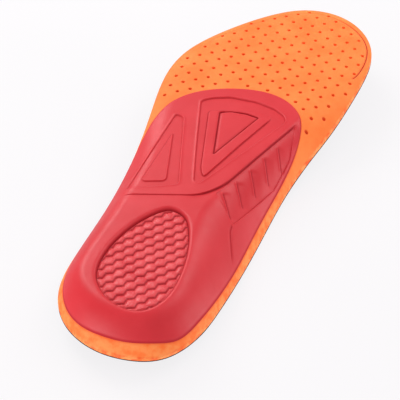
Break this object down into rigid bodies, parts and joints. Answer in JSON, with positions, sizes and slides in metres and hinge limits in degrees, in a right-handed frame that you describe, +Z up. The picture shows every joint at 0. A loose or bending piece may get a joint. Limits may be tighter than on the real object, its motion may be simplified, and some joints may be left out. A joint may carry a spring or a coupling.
{
  "type": "cushioned insole",
  "caption": "Full-length cushioned shoe insole for a right foot, with a knit top cover, perforated foam body, moulded arch and heel shell and a clear heel gel pad.",
  "frame": {"origin": "on the ground plane, under the middle of the insole's bounding box", "axes": "+Z up, the side the foot rests on; +Y from heel to toe; +X towards the outer side of a right foot"},
  "size_m": [0.1068, 0.2842, 0.0286],
  "materials": {
    "knit_black": "fine black knit",
    "foam_orange": "matte orange closed-cell foam with a cut edge",
    "shell_red": "satin coral-red moulded foam",
    "gel_clear": "clear glossy gel over red"
  },
  "bodies": {
    "root": {"top_cover": "knit_black", "foam_body": "foam_orange", "support_shell": "shell_red", "heel_gel_pad": "gel_clear"}
  },
  "joints": []
}
